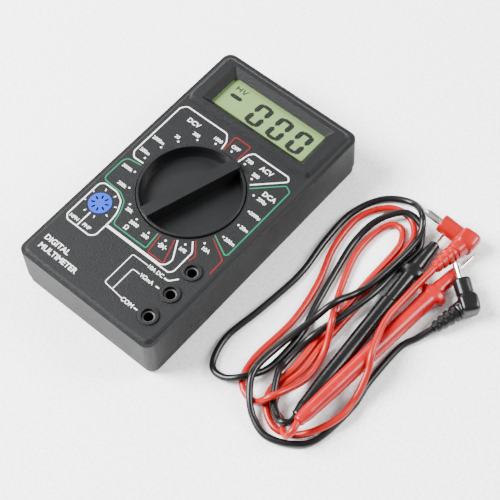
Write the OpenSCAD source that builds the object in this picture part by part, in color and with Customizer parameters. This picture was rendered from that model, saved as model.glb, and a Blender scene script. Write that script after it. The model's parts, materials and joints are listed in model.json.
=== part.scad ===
// Pocket digital multimeter with its pair of test leads.
// Frame: origin under the centre of the dial, on the table. +X right, +Y to the display, +Z up.

/* [Case] */
// Width of the case
body_w = 70; // [70:0.5:74]
// Length of the case
body_l = 126; // [126:0.5:130]
// Height of the printed face above the table
face_z = 24; // [24:0.1:24.6]
// Corner radius of the case outline
corner_r = 4; // [3.5:0.5:5]
// Wall thickness of the mouldings
wall = 2; // [1.8:0.1:2.2]
// Height of the rear cover
cover_h = 6; // [5.5:0.1:6]
// Step from the raised face down to the outer ledge
ledge_drop = 1; // [0.6:0.1:1.2]
// Width of the outer ledge
ledge_w = 1.4; // [1:0.1:1.8]

/* [Display] */
// Width of the visible display at the foot of the bezel slopes
view_w = 48; // [44:0.5:49]
// Height of the visible display at the foot of the bezel slopes
view_h = 15.4; // [13:0.2:16]
// Distance from the dial axis to the display centre
view_y = 47; // [46.8:0.1:47.2]
// Height of the bezel above the face
bezel_rise = 1.6; // [1:0.1:2]

/* [Dial] */
// Radius of the knob where it passes the face
knob_r = 21.9; // [21:0.1:22]
// Gap between the knob and its hole
knob_gap = 0.4; // [0.3:0.05:0.5]
// Width of the grip bar
bar_w = 5; // [4.8:0.1:6]
// Height of the grip bar above the face
bar_rise = 3; // [2:0.1:4]
// Number of range positions
positions = 20; // [20]
// Angle of the grip bar at rest, clockwise from the display
rest_angle = 18; // [0:18:342]

/* [Sockets] */
// Bore of the test lead sockets
jack_bore_r = 2; // [1.95:0.01:2.05]
// Outer radius of the metal sockets
jack_r = 2.8; // [2.6:0.05:2.8]
// X place of the socket column
jack_x = 25.3; // [25:0.1:25.5]

/* [Leads] */
// Diameter of the lead cord
cord_d = 2.8; // [2.4:0.1:2.8]
// Radius of the plug pins
pin_r = 1.6; // [1.5:0.05:1.9]
// Radius of the probe needles
needle_r = 0.6; // [0.5:0.05:0.6]
// Radius of a probe handle at its finger guard
grip_r = 3.6; // [3.4:0.05:3.7]

/* [Hidden] */
$fn = 64;
HULL_FN = 32;
eps = 0.01;
ledge_z = face_z - ledge_drop;
plate_z = face_z - wall;
cover_inset = 0.4;
cover_floor = 1.4;
cover_wall = 2.9;
cover_fillet = 2.5;
lip_gap = 0.15;
lip_rise = 1.6;
board_top = 16;
board_t = 1.6;
board_z = board_top - board_t;
board_x = 31.3;
board_y0 = -59.3;
board_y1 = 33.5;
board_screws = [[-27.5, 25], [27.5, 25], [-28, -50], [4, -53]];
case_screws = [[-17, -56.5], [17, -56.5]];
boss_r = 2.8;
jack_ys = [-27.5, -39.8, -52.1];
jack_z0 = 8;
jack_z1 = face_z - 0.6;
jack_floor = 1.2;
collar_r = 4;
socket_x = -24;
socket_y = -27.2;
socket_r = 4.85;
socket_gap = 0.15;
contact_ring_r = 2.9;
contact_r = 0.35;
knob_z0 = 17.6;
flange_r = 23.6;
flange_z1 = 19.1;
well_z = 19.5;
rim_z = face_z + 0.9;
bar_z = face_z + bar_rise;
hub_r = 3;
hub_gap = 0.08;
detent_z = 20.6;
ball_r = 1.2;
lens_z0 = 21.3;
lens_t = 1.2;
glass_z0 = 18.4;
glass_t = 2.8;
battery_x0 = -25.5;
battery_l = 46.5;
battery_y0 = 33.8;
battery_w = 25.8;
battery_h = 16.4;
battery_z0 = 1.5;
snap_x0 = battery_x0 + battery_l + 2;
fuse_x = -12;
fuse_y = -45;
fuse_z = 10.2;
fuse_r = 2.45;
fuse_l = 20;
cap_l = 5.5;
resistors = [for (row = [0:2], col = [0:3]) [-13 + 9 * col, -14 - 6 * row]];
diodes = [[-8, -52.5], [-19, -52.5], [-20, 28]];
part_lead_z = 12.9;
part_lead_r = 0.3;
DARK = "#2b2c2f";
LEAD_BLACK = "#1e1e20";
LEAD_RED = "#e0362a";
PROBE_RED = "#e0464c";
handle_l = 95;
guard_at = 78;
guard_r = 6;
guard_half = 3.9;
guard_arc_r = (pow(guard_r, 2) + pow(guard_half, 2)) / (2 * guard_half);
needle_l = 10.5;
shroud_r = 3.6;
relief_r0 = 3.5;
relief_r1 = 2.1;
black_neck = 5.5;
red_neck = 8;
black_barrel = 10.5;
red_barrel = 12.7;
black_pin_l = 18.6;
red_pin_l = 20;

// Black lead: elbow of the plug, direction of its pin, ends of the probe handle, route of the cord
black_elbow = [110, 37.8, 5.6];
black_pin_dir = [-0.8, 0.6, 0.15];
black_tail = [89.2, -42, 6.6];
black_nose = [83, 52.8, 3.4];
black_route = [[105.2, 21.5, 3], [102.6, 15, 1.6], [99.8, 7, 1.4], [100, -12, 1.4],
    [101.6, -24, 1.4], [99.8, -42.5, 1.4], [93.5, -50.2, 1.4], [84, -53.8, 1.4],
    [75.5, -51.2, 2.8], [69.3, -45.8, 5.4], [65, -38, 7.3], [64.4, -24, 4.4], [67.3, -6, 4.8],
    [70, 4, 7.8], [72.7, 14, 4.4], [75.3, 24, 4.4], [76.6, 47.5, 4.4], [72.6, 57.4, 7.2],
    [63.5, 62.8, 2.6], [53, 57.5, 1.4], [47, 44, 1.4], [47, 27, 1.4], [49.2, 8, 1.4],
    [47.4, -14, 1.4], [45.2, -32, 1.4], [49, -44.3, 1.4], [56, -46, 2.4], [62.3, -41.6, 4.3],
    [66.8, -31, 1.6], [66.8, -13, 1.4], [63.8, -1, 1.4], [59.6, 17, 1.4], [56.4, 34, 1.4],
    [58, 47, 3.2], [64.8, 56.2, 4.6], [73, 56, 3.8], [76.6, 52, 2.4],
    [78.9, 46, 1.4], [77.9, 35, 1.4], [78, 19, 3.8],
    [75.6, 5, 4.4], [72.4, -8, 4.5], [70.5, -15.5, 2.2], [70.3, -26, 2.2], [71.9, -32.2, 4.5],
    [77.2, -41, 4.4], [83, -46, 5.6], [86.8, -47.6, 7.6], [89.4, -45.6, 7.6], [89.2, -42, 6.6]];

// Red lead: the same
red_elbow = [92.2, 60.5, 5.6];
red_pin_dir = [-0.98, -0.06, 0.22];
red_tail = [92.4, -44.8, 10.8];
red_nose = [97.2, 50, 2.8];
red_route = [[90.6, 41, 7.6], [90.7, 26, 9.8], [91, 11, 10.8], [94, 0, 12.5],
    [96.6, -6.5, 12.3], [99.2, -12, 9.2],
    [101, -21, 4.8], [101.4, -31, 4.5], [97.6, -41.2, 3.9], [91.2, -47.2, 1.4], [83.5, -49, 1.4],
    [75.3, -43.5, 1.4], [72.9, -35, 1.4], [74.1, -25, 1.4], [73.2, -10, 1.4], [72.8, 5, 1.4],
    [72.1, 22, 1.4], [72, 40, 1.4], [70.8, 46.4, 1.4], [67.4, 50.6, 1.4], [63, 49.8, 1.4],
    [60.6, 44, 1.4], [60, 35, 1.4], [61.5, 26, 1.4],
    [66.5, 12, 1.4], [70.6, 3.6, 3.8], [74.2, -2.4, 8.3], [79, -13, 2.8], [81, -26, 2.4],
    [77.6, -41.6, 7.9], [71.5, -46, 2], [63, -43, 1.4], [59.6, -32, 1.4], [60.6, -10, 1.4],
    [57.5, 9, 1.4], [51.6, 27, 1.4], [50.6, 44, 1.4], [57, 55.2, 1.4], [66, 57.3, 1.4],
    [73.2, 51.5, 1.4], [75, 41, 1.4], [75, 31, 1.4], [75.9, 14, 1.4], [76.2, -10, 1.4],
    [77.4, -24, 1.4], [75.8, -35, 1.4], [79, -42.8, 1.4], [85.6, -45.6, 2.8],
    [88.6, -48.8, 4.7], [92, -51, 8], [93.1, -49, 10.6], [92.4, -44.8, 10.8]];

// Points of a rectangle with round corners, centred on the origin
function rounded_points(w, l, r, n = 8) = [
    for (c = [[1, 1, 0], [-1, 1, 90], [-1, -1, 180], [1, -1, 270]], i = [0:n])
        [c[0] * (w / 2 - r), c[1] * (l / 2 - r)]
            + r * [cos(c[2] + 90 * i / n), sin(c[2] + 90 * i / n)]];

// Catmull-Rom point at t between the second and third of four points
function spline_point(a, b, c, d, t) = 0.5 * (2 * b + (c - a) * t
    + (2 * a - 5 * b + 4 * c - d) * t * t + (3 * b - a - 3 * c + d) * t * t * t);

// Smooth path through the points of p, with n steps from each point to the next
function spline_path(p, n) = let (last = len(p) - 1) concat(
    [for (i = [0:last - 1], k = [0:n - 1]) spline_point(
        i == 0 ? 2 * p[0] - p[1] : p[i - 1], p[i], p[i + 1],
        i + 1 == last ? 2 * p[last] - p[last - 1] : p[i + 2], k / n)],
    [p[last]]);

function unit(v) = v / norm(v);
function path_dir(p, i) = unit(p[min(i + 1, len(p) - 1)] - p[max(i - 1, 0)]);
function side_dir(t) = unit(cross(abs(t[2]) > 0.9 ? [1, 0, 0] : [0, 0, 1], t));

// Tube of radius r swept along path, with the given number of sides
module tube(path, r, sides) {
    n = len(path);
    rings = [for (i = [0:n - 1]) let (t = path_dir(path, i), s = side_dir(t), u = cross(t, s))
        for (k = [0:sides - 1]) let (a = 360 * (k + 0.5) / sides)
            path[i] + r * (cos(a) * s + sin(a) * u)];
    skin = [for (i = [0:n - 2], k = [0:sides - 1]) let (j = (k + 1) % sides)
        [i * sides + k, (i + 1) * sides + k, (i + 1) * sides + j, i * sides + j]];
    ends = [[for (k = [0:sides - 1]) k], [for (k = [sides - 1:-1:0]) (n - 1) * sides + k]];
    polyhedron(points = rings, faces = concat(skin, ends), convexity = 6);
}

module prism(w, l, r, h) {
    linear_extrude(height = h) polygon(rounded_points(w, l, r));
}

module ring(r_out, r_in, h) {
    difference() {
        cylinder(r = r_out, h = h);
        translate([0, 0, -1]) cylinder(r = r_in, h = h + 2);
    }
}

module at_each(places) {
    for (p = places) translate([p[0], p[1], 0]) children();
}

module raised_face() {
    bevel = 1.1;
    hull() {
        translate([0, 0, ledge_z - 0.2])
            prism(body_w - 2 * ledge_w, body_l - 2 * ledge_w, corner_r - 1, 0.3);
        translate([0, 0, face_z - 0.1])
            prism(body_w - 2 * (ledge_w + bevel), body_l - 2 * (ledge_w + bevel), corner_r - 1.5, 0.1);
    }
}

module bezel_block() {
    bezel_w = 64.6;
    bezel_l = 27.2;
    bevel = 1.2;
    translate([0, view_y, 0]) hull() {
        translate([0, 0, face_z - 0.2]) prism(bezel_w, bezel_l, 2.2, 0.2);
        translate([0, 0, face_z + bezel_rise - 0.1])
            prism(bezel_w - 2 * bevel, bezel_l - 2 * bevel, 1.6, 0.1);
    }
}

// Sloped mouth above the display window
module display_mouth() {
    slope = 3;
    top = face_z + bezel_rise;
    translate([0, view_y, 0]) hull() {
        translate([0, 0, lens_z0 + lens_t - eps]) prism(view_w, view_h, 0.6, eps);
        translate([0, 0, top + 0.2]) prism(view_w + 2 * slope, view_h + 2 * slope, 1, eps);
    }
}

module front_shell() {
    cavity_w = body_w - 2 * wall;
    cavity_l = body_l - 2 * wall;
    color(DARK) difference() {
        union() {
            difference() {
                union() {
                    translate([0, 0, cover_h]) prism(body_w, body_l, corner_r, ledge_z - cover_h);
                    raised_face();
                    bezel_block();
                }
                translate([0, 0, cover_h - 1])
                    prism(cavity_w, cavity_l, corner_r - wall / 2, plate_z - cover_h + 1);
            }
            translate([0, 0, flange_z1 + 0.3])
                cylinder(r = knob_r + knob_gap + 1.5, h = plate_z - flange_z1);
            for (y = jack_ys) translate([jack_x, y, plate_z - 4]) cylinder(r = collar_r, h = 6.7);
            translate([0, 0, board_top]) at_each(board_screws)
                cylinder(r = boss_r, h = plate_z - board_top + 0.5);
            translate([0, 0, 5]) at_each(case_screws) cylinder(r = boss_r, h = plate_z - 4.5);
        }
        translate([0, 0, flange_z1 - 1]) cylinder(r = knob_r + knob_gap, h = 10);
        detent_notches();
        display_mouth();
        translate([0, view_y, lens_z0 - 1]) prism(54.6, 21.4, 1, lens_t + 1);
        for (y = jack_ys) translate([jack_x, y, plate_z - 5]) cylinder(r = jack_r + 0.1, h = 9);
        translate([socket_x, socket_y, plate_z - 1]) cylinder(r = socket_r + socket_gap, h = 4);
        translate([0, 0, board_top - 1]) at_each(board_screws) cylinder(r = 1.05, h = 6.2);
        translate([0, 0, 4]) at_each(case_screws) cylinder(r = 1.2, h = 12);
    }
}

// Row of grooves that the detent balls click into
module detent_notches() {
    notch_r = 1;
    for (i = [0:positions - 1]) rotate([0, 0, 360 * i / positions])
        translate([0, knob_r + knob_gap + 0.1, flange_z1]) cylinder(r = notch_r, h = plate_z - flange_z1);
}

module cover_tray() {
    w = body_w - 2 * cover_inset;
    l = body_l - 2 * cover_inset;
    hull() for (a = [0:18:90]) {
        inset = cover_fillet * (1 - sin(a));
        translate([0, 0, cover_fillet * (1 - cos(a))])
            prism(w - 2 * inset, l - 2 * inset, corner_r - 0.8 * inset, cover_h - cover_fillet);
    }
}

module rear_cover() {
    inner_w = body_w - 2 * cover_inset - 2 * cover_wall;
    inner_l = body_l - 2 * cover_inset - 2 * cover_wall;
    lip_w = body_w - 2 * wall - 2 * lip_gap;
    lip_l = body_l - 2 * wall - 2 * lip_gap;
    color("#26272a") difference() {
        union() {
            difference() {
                union() {
                    cover_tray();
                    translate([0, 0, cover_h - 1]) prism(lip_w, lip_l, corner_r - wall, lip_rise + 1);
                }
                translate([0, 0, cover_floor]) prism(inner_w, inner_l, 2, cover_h + lip_rise);
            }
            at_each(case_screws) translate([0, 0, cover_floor - 0.4]) cylinder(r = 3.1, h = 3.8);
            translate([-22, battery_y0 - 1, cover_floor - 0.4]) cube([44, 0.8, 4]);
            for (x = [-29.4, 29.4]) translate([x - 2, inner_l / 2, cover_h + 1])
                cube([4, (lip_l - inner_l) / 2, 4]);
        }
        at_each(case_screws) {
            translate([0, 0, -1]) cylinder(r = 2.6, h = 3.1);
            cylinder(r = 1.5, h = 8);
        }
    }
}

// Screw pointing up: head from z = 0 to head_h, then the shank, with a crossed slot in the head
module screw(head_r, head_h, shank_r, length) {
    difference() {
        union() {
            cylinder(r = head_r, h = head_h);
            cylinder(r = shank_r, h = length);
        }
        for (a = [0, 90]) rotate([0, 0, a]) translate([-head_r * 0.6, -0.25, -1])
            cube([head_r * 1.2, 0.5, 1 + head_h * 0.5]);
    }
}

module case_screws() {
    color("silver") translate([0, 0, 0.5]) at_each(case_screws) screw(2.4, 1.5, 1.15, 13);
}

module board_screws() {
    head_h = 1.2;
    color("silver") translate([0, 0, board_z - head_h]) at_each(board_screws)
        screw(2.2, head_h, 1, 7.6);
}

module display_window() {
    color("#c9d6c4", 0.5) translate([0, view_y, lens_z0]) prism(54.2, 21, 0.8, lens_t);
}

module display_glass() {
    color("#a8b98e") translate([-29.4, 31, glass_z0]) cube([58.8, 27.2, glass_t]);
}

module display_frame() {
    color("#e8e8e2") {
        difference() {
            translate([-31, 29.6, glass_z0 - 0.3]) cube([62, 30, glass_t + 0.3]);
            translate([-29.6, 30.8, glass_z0]) cube([59.2, 27.6, glass_t + 1]);
            translate([-28, 30.8, glass_z0 - 1]) cube([56, 26.4, 2]);
        }
        for (x = [-30, 27]) translate([x, 29.6, board_top]) cube([3, 1.2, glass_z0 - board_top]);
    }
}

module display_connector() {
    color("#d98a9a") translate([-26, 31.2, board_top]) cube([52, 2, glass_z0 - board_top]);
}

module circuit_board() {
    color("#1f6b45") difference() {
        translate([-board_x, board_y0, board_z]) cube([2 * board_x, board_y1 - board_y0, board_t]);
        translate([0, 0, board_z - 1]) {
            cylinder(r = hub_r + hub_gap, h = 4);
            for (y = jack_ys) translate([jack_x, y, 0]) cylinder(r = jack_r + 0.05, h = 4);
            at_each(board_screws) cylinder(r = 1.3, h = 4);
            at_each(case_screws) cylinder(r = boss_r + 0.4, h = 4);
            translate([socket_x, socket_y, 0]) contact_ring() cylinder(r = 0.5, h = 4);
        }
    }
}

// Printed contact pads and slip rings that the dial wipers slide on
module switch_tracks() {
    track_t = 0.15;
    color("#d9b25a") translate([0, 0, board_top]) {
        for (r = [7, 10]) difference() {
            ring(r + 0.9, r - 0.9, track_t);
            translate([-r - 2, -0.5, -1]) cube([r + 2, 1, 2]);
        }
        for (r = [13.5, 17], i = [0:positions - 1]) rotate([0, 0, 360 * i / positions])
            translate([-0.8, r - 1.1, 0]) cube([1.6, 2.2, track_t]);
    }
}

module jack_tube(y) {
    flange_h = 0.8;
    color("#b9bbb6") translate([jack_x, y, 0]) difference() {
        union() {
            translate([0, 0, jack_z0]) cylinder(r = jack_r, h = jack_z1 - jack_z0);
            translate([0, 0, board_z - flange_h]) cylinder(r = jack_r + 1.1, h = flange_h);
        }
        translate([0, 0, jack_z0 + jack_floor]) cylinder(r = jack_bore_r, h = jack_z1 - jack_z0);
    }
}

module socket_10a() { jack_tube(jack_ys[0]); }
module socket_volt_ohm() { jack_tube(jack_ys[1]); }
module socket_common() { jack_tube(jack_ys[2]); }

module contact_ring() {
    for (i = [0:7]) rotate([0, 0, 45 * i + 22.5]) translate([contact_ring_r, 0, 0]) children();
}

module transistor_socket() {
    slot_z = board_top + 3;
    color("#2f66d8") translate([socket_x, socket_y, 0]) difference() {
        translate([0, 0, board_top]) cylinder(r = socket_r, h = face_z + 0.2 - board_top);
        contact_ring() translate([-0.8, -0.35, slot_z]) cube([1.6, 0.7, 8]);
        contact_ring() translate([0, 0, board_top - 1]) cylinder(r = 0.45, h = 4.5);
    }
}

module transistor_contacts() {
    color("gold") translate([socket_x, socket_y, board_z - 1.4]) contact_ring()
        cylinder(r = contact_r, h = 6);
}

module meter_chip() {
    dome_r = 8.5;
    dome_h = 2.2;
    color("#141414") translate([0, 17, board_z]) mirror([0, 0, 1])
        rotate_extrude() polygon(concat([[0, 0]],
            [for (a = [0:15:90]) [dome_r * cos(a) * (a < 90 ? 1 : 0), dome_h * sin(a)]]));
}

module trimmer() {
    color("#3a78c8") translate([17, 13, board_z - 4]) difference() {
        cube([6.6, 6.6, 4]);
        translate([3.3, 3.3, -1]) cylinder(r = 2.3, h = 2.2);
    }
}

module trimmer_rotor() {
    color("white") translate([20.3, 16.3, board_z - 4.2]) difference() {
        cylinder(r = 2.2, h = 1.3);
        translate([-2, -0.3, -1]) cube([4, 0.6, 1.5]);
    }
}

module electrolytic_capacitor() {
    can_r = 3;
    color("#20306a") translate([-20, 13, board_z - can_r - 0.3]) rotate([-90, 0, 0])
        cylinder(r = can_r, h = 9);
}

module film_capacitors() {
    color("#b5482f") for (p = [[-26, -6], [-26, 3], [21, 0], [21, -9]])
        translate([p[0], p[1], board_z - 6]) cube([3, 7, 6]);
}

module axial_bodies(places, r, l) {
    for (p = places) translate([p[0], p[1], part_lead_z]) rotate([0, 90, 0])
        cylinder(r = r, h = l, center = true);
}

module resistors() { color("#c9b07a") axial_bodies(resistors, 1.1, 5); }
module diodes() { color("#b4552a") axial_bodies(diodes, 0.9, 4); }

module axial_leads(places, l) {
    for (p = places, s = [-1, 1])
        tube([for (q = [[l / 2, 0], [l / 2 + 1, 0], [l / 2 + 1.3, board_z - part_lead_z]])
            [p[0] + s * q[0], p[1], part_lead_z + q[1]]], part_lead_r, 6);
}

module component_leads() {
    color("silver") {
        axial_leads(resistors, 5);
        axial_leads(diodes, 4);
    }
}

module shunt_wire() {
    color("#c7a06a") tube([[17.5, -33, board_z], [17.5, -33, 11], [17.5, -35, 9.2],
        [17.5, -46, 9.2], [17.5, -48, 11], [17.5, -48, board_z]], 0.8, 8);
}

module along_fuse() {
    translate([fuse_x, fuse_y, fuse_z]) rotate([0, 90, 0]) children();
}

module fuse_tube() {
    color("#dfe9ea", 0.6) along_fuse() translate([0, 0, -fuse_l / 2 + 0.4])
        ring(fuse_r - 0.05, fuse_r - 0.6, fuse_l - 0.8);
}

module fuse_caps() {
    color("silver") along_fuse() for (m = [0, 1]) mirror([0, 0, m])
        translate([0, 0, fuse_l / 2 - cap_l]) difference() {
            cylinder(r = fuse_r + 0.15, h = cap_l);
            translate([0, 0, -1]) cylinder(r = fuse_r - 0.04, h = cap_l + 0.6);
        }
}

module fuse_wire() {
    color("#8a8d90") along_fuse() cylinder(r = 0.15, h = fuse_l - 0.8, center = true);
}

module fuse_clips() {
    clip_l = 4.4;
    clip_r = fuse_r + 0.2;
    color("#c8b46a") for (s = [-1, 1]) translate([fuse_x + s * 7.4, fuse_y, 0]) {
        difference() {
            translate([-clip_l / 2, 0, fuse_z]) rotate([0, 90, 0]) ring(clip_r + 0.4, clip_r, clip_l);
            translate([-clip_l, -1.6, fuse_z - 6]) cube([2 * clip_l, 3.2, 6]);
        }
        translate([-clip_l / 2, -1.4, fuse_z + clip_r + 0.2])
            cube([clip_l, 2.8, board_z - fuse_z - clip_r - 0.2]);
    }
}

module battery() {
    color("#3b3f46") translate([battery_x0, battery_y0, battery_z0])
        cube([battery_l, battery_w, battery_h]);
}

// Places of the two battery terminals along Y
function terminal_y(s) = battery_y0 + battery_w / 2 + s * 6.3;

module battery_terminals() {
    color("silver") for (s = [-1, 1])
        translate([battery_x0 + battery_l, terminal_y(s), battery_z0 + battery_h / 2])
            rotate([0, 90, 0]) cylinder(r = s < 0 ? 2.9 : 3.8, h = 2);
}

module battery_snap() {
    color("#1b1b1d") translate([snap_x0, battery_y0 + 1, battery_z0 + 1.5])
        cube([3, battery_w - 2, battery_h - 3]);
}

// Wire from just off the snap down its own lane beside the battery to a pad under the board
module battery_wire(y, lane_x, pad_x, pad_y) {
    wire_gap = 0.35;
    x0 = snap_x0 + 3 + wire_gap;
    tube(spline_path([[x0, y, 10], [x0 + 1, y, 10], [lane_x, y - 3.5, 9.2], [lane_x, 33.5, 9],
        [lane_x - 0.8, pad_y + 1.5, 9.4], [pad_x, pad_y, 11.6], [pad_x, pad_y, board_z - 0.1]], 3),
        0.65, 6);
}
module battery_wire_red() { color("#c8281e") battery_wire(41, 27.9, 22, 30.5); }
module battery_wire_black() { color("#1d1d1f") battery_wire(45, 30.3, 26.6, 28.4); }

module dial_frame() {
    rotate([0, 0, -rest_angle]) children();
}

module range_dial() {
    rim_w = 1;
    pocket_r = ball_r + 0.05;
    color("#242528") dial_frame() difference() {
        union() {
            rotate_extrude() polygon([[0, knob_z0], [flange_r, knob_z0], [flange_r, flange_z1],
                [knob_r, flange_z1], [knob_r, rim_z - 0.3], [knob_r - 0.3, rim_z],
                [knob_r - rim_w, rim_z], [knob_r - rim_w - 0.6, well_z + 1.2],
                [knob_r - rim_w - 1.4, well_z], [0, well_z]]);
            translate([0, 0, well_z - 1]) intersection() {
                translate([-bar_w / 2, -knob_r, 0]) cube([bar_w, 2 * knob_r, bar_z - well_z + 1]);
                cylinder(r = knob_r - rim_w / 2, h = bar_z);
            }
            translate([0, 0, board_z - 1]) cylinder(r = hub_r, h = knob_z0 - board_z + 1.5);
        }
        for (a = [0, 180]) rotate([0, 0, a]) translate([0, 13, detent_z]) rotate([-90, 0, 0])
            cylinder(r = pocket_r, h = knob_r);
    }
}

module dial_wipers() {
    leaf = [[-3.4, 1.2], [-3.4, 1.4], [-2.4, 1.4], [0, 0.3], [2.4, 1.4], [3.4, 1.4], [3.4, 1.2],
        [2.5, 1.2], [0, 0.1], [-2.5, 1.2]];
    color("#c98c4a") dial_frame() for (a = [40, 160, 280], r = [7, 10, 13.5, 17])
        rotate([0, 0, a]) translate([r + 0.6, 0, knob_z0 - 1.4]) rotate([90, 0, -90])
            linear_extrude(height = 1.2) polygon(leaf);
}

module detent_balls() {
    color("silver") dial_frame() for (s = [-1, 1])
        translate([0, s * (knob_r + knob_gap - ball_r - 0.1), detent_z]) sphere(r = ball_r);
}

module detent_springs() {
    turns = 5;
    coil_r = 0.85;
    start = 13.3;
    length = knob_r + knob_gap - 2 * ball_r - 0.35 - start;
    color("#9a9da0") dial_frame() for (s = [-1, 1])
        tube([for (i = [0:10 * turns]) let (a = 36 * i)
            [coil_r * cos(a), s * (start + length * i / (10 * turns)), detent_z + coil_r * sin(a)]],
            0.18, 4);
}

// Puts the children's +Z along the way from a to b, with its foot at a
module aim(a, b) {
    d = b - a;
    translate(a) rotate([0, acos(d[2] / norm(d)), atan2(d[1], d[0])]) children();
}

// Cord swept along its route, nowhere lower than the table
module lead_cord(route) {
    tube([for (p = spline_path(route, 2)) [p[0], p[1], max(p[2], cord_d / 2)]], cord_d / 2, 8);
}

// Right-angle plug: rounded elbow block, barrel towards the pin, neck towards the relief
module plug_body(elbow, pin_dir, relief_end, barrel_l, neck_l) {
    half = [4.3, 4.3, 5];
    round_r = 2.2;
    d = unit(pin_dir);
    difference() {
        union() {
            translate(elbow) rotate([0, -asin(d[2]), atan2(d[1], d[0])])
                hull() for (x = [-1, 1], y = [-1, 1], z = [-1, 1])
                    translate([x * (half[0] - round_r), y * (half[1] - round_r),
                        z * (half[2] - round_r)]) sphere(r = round_r, $fn = 24);
            aim(elbow, elbow + d) cylinder(r = shroud_r, h = barrel_l);
            aim(elbow, relief_end) cylinder(r = relief_r0, h = neck_l);
        }
        aim(elbow, elbow + d) translate([0, 0, 3]) cylinder(r = pin_r + 0.02, h = barrel_l);
    }
}

// Banana pin, slit crosswise so that it springs in its socket
module plug_pin(elbow, pin_dir, length) {
    cone_l = 1.2;
    aim(elbow, elbow + unit(pin_dir)) difference() {
        union() {
            translate([0, 0, 3]) cylinder(r = pin_r, h = length - 3 - cone_l);
            translate([0, 0, length - cone_l]) cylinder(r1 = pin_r, r2 = pin_r * 0.5, h = cone_l);
        }
        for (a = [0, 90]) rotate([0, 0, a]) translate([-pin_r - 1, -0.2, length - 6])
            cube([2 * pin_r + 2, 0.4, 10]);
    }
}

// Tapered sleeve with grooves, from the plug's neck to the cord
module strain_relief(elbow, relief_end, neck_l) {
    ribs = 4;
    length = norm(relief_end - elbow) - neck_l;
    pitch = length / ribs;
    aim(elbow, relief_end) translate([0, 0, neck_l]) rotate_extrude() polygon(concat([[0, 0]],
        [for (i = [0:ribs - 1]) let (r = relief_r0 + (relief_r1 - relief_r0) * i / (ribs - 1))
            each [[r, pitch * i + (i == 0 ? 0 : 0.3)], [r, pitch * (i + 0.62)],
                [r - 0.9, pitch * (i + 0.7)], [r - 0.9, pitch * (i + 1)]]],
        [[0, length]]));
}

// Moves one of the two arcs of the oval guard off the handle's axis
module for_side(side) {
    translate([side * (guard_arc_r - guard_half), 0, 0]) children();
}

module probe_handle(tail, nose) {
    aim(tail, nose) difference() {
        union() {
            rotate_extrude() polygon([[0, 0], [1.8, 0], [2.6, 4], [3.05, 20], [3.4, 45],
                [3.5, 62], [grip_r, guard_at - 1], [3.4, guard_at + 1], [2.2, handle_l],
                [0, handle_l]]);
            translate([0, 0, guard_at - 1.2]) intersection() {
                for_side(1) cylinder(r = guard_arc_r, h = 2.4);
                for_side(-1) cylinder(r = guard_arc_r, h = 2.4);
                cylinder(r = guard_r - 0.4, h = 2.4);
            }
        }
        translate([0, 0, handle_l - 10]) cylinder(r = needle_r + 0.02, h = 11);
    }
}

module probe_needle(tail, nose) {
    point_l = 2.4;
    aim(tail, nose) translate([0, 0, handle_l - 10]) {
        cylinder(r = needle_r, h = 10 + needle_l - point_l);
        translate([0, 0, 10 + needle_l - point_l])
            cylinder(r1 = needle_r, r2 = 0.1, h = point_l);
    }
}

module black_cord() { color(LEAD_BLACK) lead_cord(black_route); }
module black_plug() {
    color(LEAD_BLACK) plug_body(black_elbow, black_pin_dir, black_route[0], black_barrel, black_neck);
}
module black_plug_pin() { color("silver") plug_pin(black_elbow, black_pin_dir, black_pin_l); }
module black_strain_relief() {
    color(LEAD_BLACK) strain_relief(black_elbow, black_route[0], black_neck);
}
module black_probe() { color(LEAD_BLACK) probe_handle(black_tail, black_nose); }
module black_probe_needle() { color("silver") probe_needle(black_tail, black_nose); }

module red_cord() { color(LEAD_RED) lead_cord(red_route); }
module red_plug() {
    color(LEAD_RED) plug_body(red_elbow, red_pin_dir, red_route[0], red_barrel, red_neck);
}
module red_plug_pin() { color("silver") plug_pin(red_elbow, red_pin_dir, red_pin_l); }
module red_strain_relief() {
    color(LEAD_RED) strain_relief(red_elbow, red_route[0], red_neck);
}
module red_probe() { color(PROBE_RED) probe_handle(red_tail, red_nose); }
module red_probe_needle() { color("silver") probe_needle(red_tail, red_nose); }

front_shell();
rear_cover();
case_screws();
display_window();
display_glass();
display_frame();
display_connector();
circuit_board();
switch_tracks();
board_screws();
socket_10a();
socket_volt_ohm();
socket_common();
transistor_socket();
transistor_contacts();
meter_chip();
trimmer();
trimmer_rotor();
electrolytic_capacitor();
film_capacitors();
resistors();
diodes();
component_leads();
shunt_wire();
fuse_tube();
fuse_caps();
fuse_wire();
fuse_clips();
battery();
battery_terminals();
battery_snap();
battery_wire_red();
battery_wire_black();
range_dial();
dial_wipers();
detent_balls();
detent_springs();
black_cord();
black_plug();
black_plug_pin();
black_strain_relief();
black_probe();
black_probe_needle();
red_cord();
red_plug();
red_plug_pin();
red_strain_relief();
red_probe();
red_probe_needle();
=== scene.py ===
"""Pocket digital multimeter with its pair of test leads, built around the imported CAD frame.

Millimetre values are turned into metres by MM. Every piece sits at the origin with its place in its
mesh, +Z up, the printed face at FACE_Z.
"""
import json
import math

import bmesh
import bpy
import numpy as np
from mathutils import Matrix, Vector


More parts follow.
